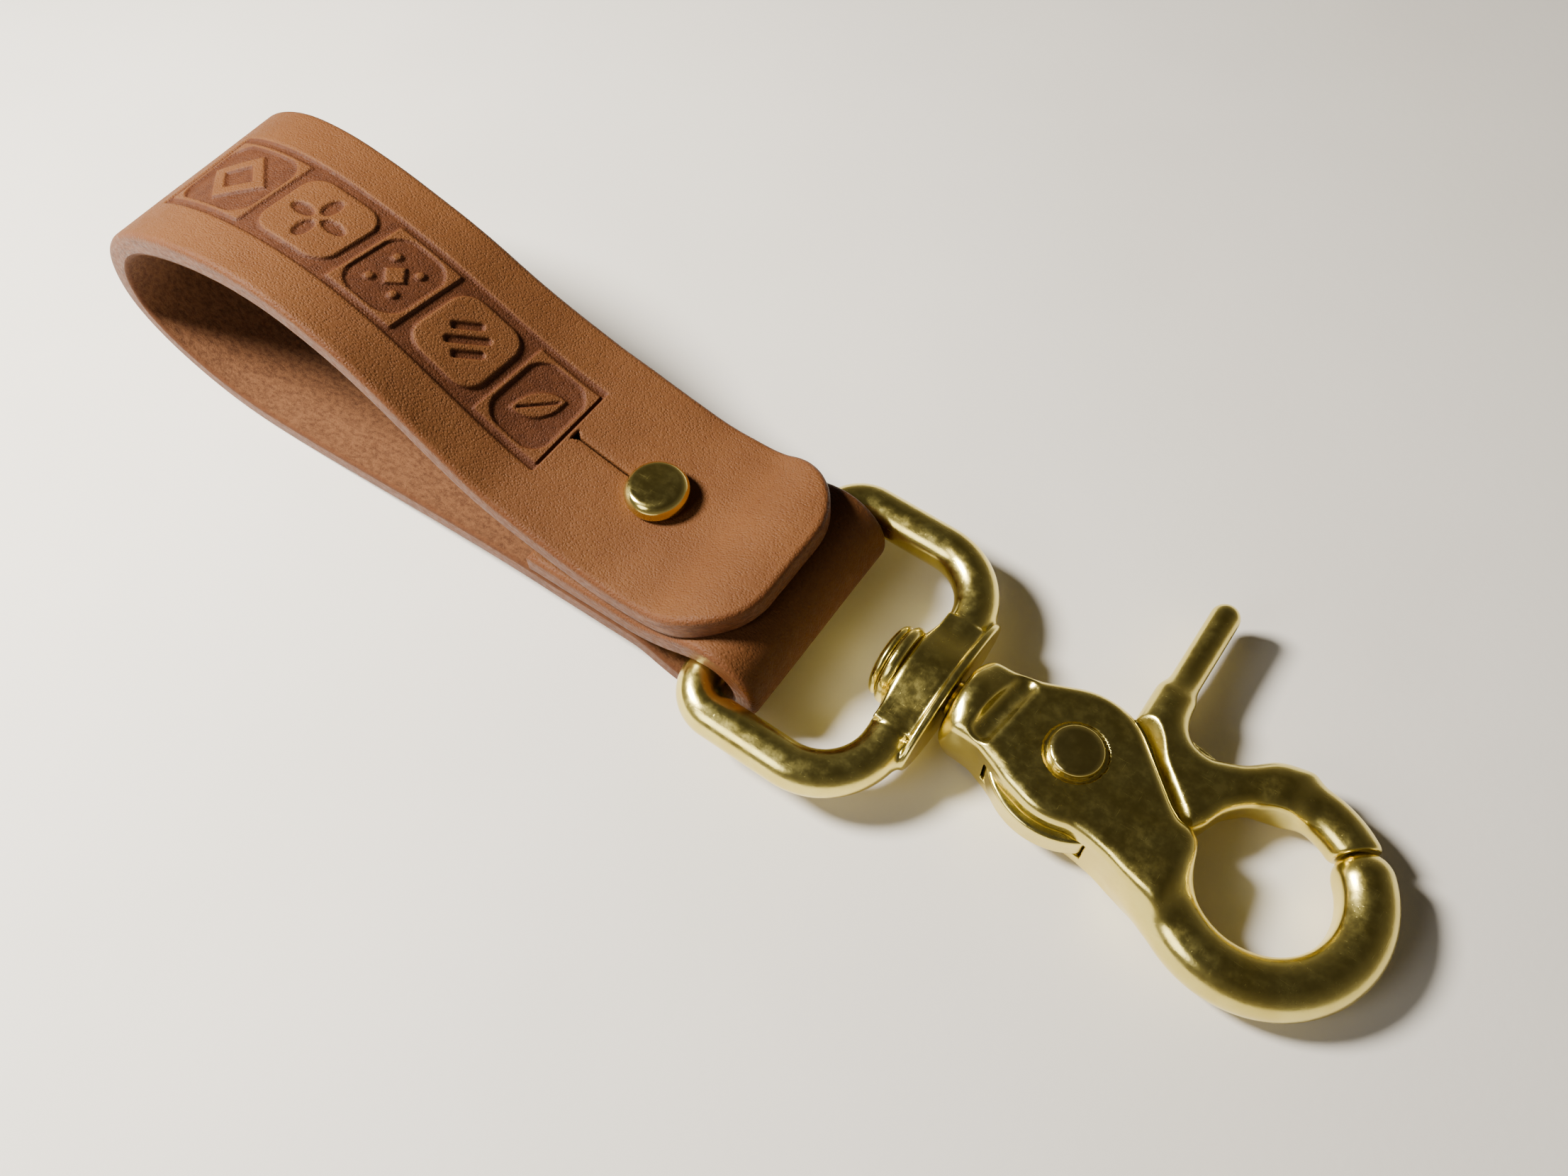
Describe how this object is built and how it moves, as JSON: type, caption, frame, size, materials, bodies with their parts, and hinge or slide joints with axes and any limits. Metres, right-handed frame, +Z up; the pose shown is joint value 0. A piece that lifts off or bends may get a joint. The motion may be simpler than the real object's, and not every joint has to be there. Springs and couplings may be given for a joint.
{
  "type": "keychain",
  "caption": "Leather belt-loop key fob: a strap folded round a swivel eye and buttoned on a stud, with a brass trigger snap whose sprung jaw opens the hook.",
  "frame": {"origin": "on the resting surface, straight below the middle of the eye's straight bar, about which the hardware hinges in the strap's fold", "axes": "+X along the strap toward the hook, +Y to the side the trigger's lever is on, +Z up from the resting surface"},
  "size_m": [0.1611, 0.0452, 0.0314],
  "materials": {
    "strap_leather": "vegetable-tanned tan grain, burnished edges",
    "stud_brass": "polished, lightly scratched",
    "cast_brass": "cast and polished, softly mottled",
    "spring_steel": "drawn wire"
  },
  "bodies": {
    "strap": {"strap": "strap_leather", "stud_head": "stud_brass", "stud_screw": "stud_brass"},
    "eye": {"swivel_eye": "cast_brass"},
    "snap": {"snap_body": "cast_brass", "swivel_rivet": "cast_brass", "swivel_washer": "cast_brass", "pivot_rivet": "stud_brass", "trigger_spring": "spring_steel"},
    "trigger": {"trigger": "cast_brass"}
  },
  "joints": [
    {"name": "eye_swing", "type": "hinge", "parent": "strap", "child": "eye", "pos_m": [0, 0, 0.00615], "axis": [0, -1, 0], "range_deg": [-118, 106]},
    {"name": "snap_swivel", "type": "hinge", "parent": "eye", "child": "snap", "pos_m": [0, 0.0005, 0.00615], "axis": [0.999, 0, -0.0454], "continuous": true},
    {"name": "trigger_pivot", "type": "hinge", "parent": "snap", "child": "trigger", "pos_m": [0.03681, 0.0005, 0.00448], "axis": [0.0454, 0, 0.999], "range_deg": [0, 28], "stiffness_Nm_per_rad": 0.2, "springref_deg": -11.46}
  ]
}
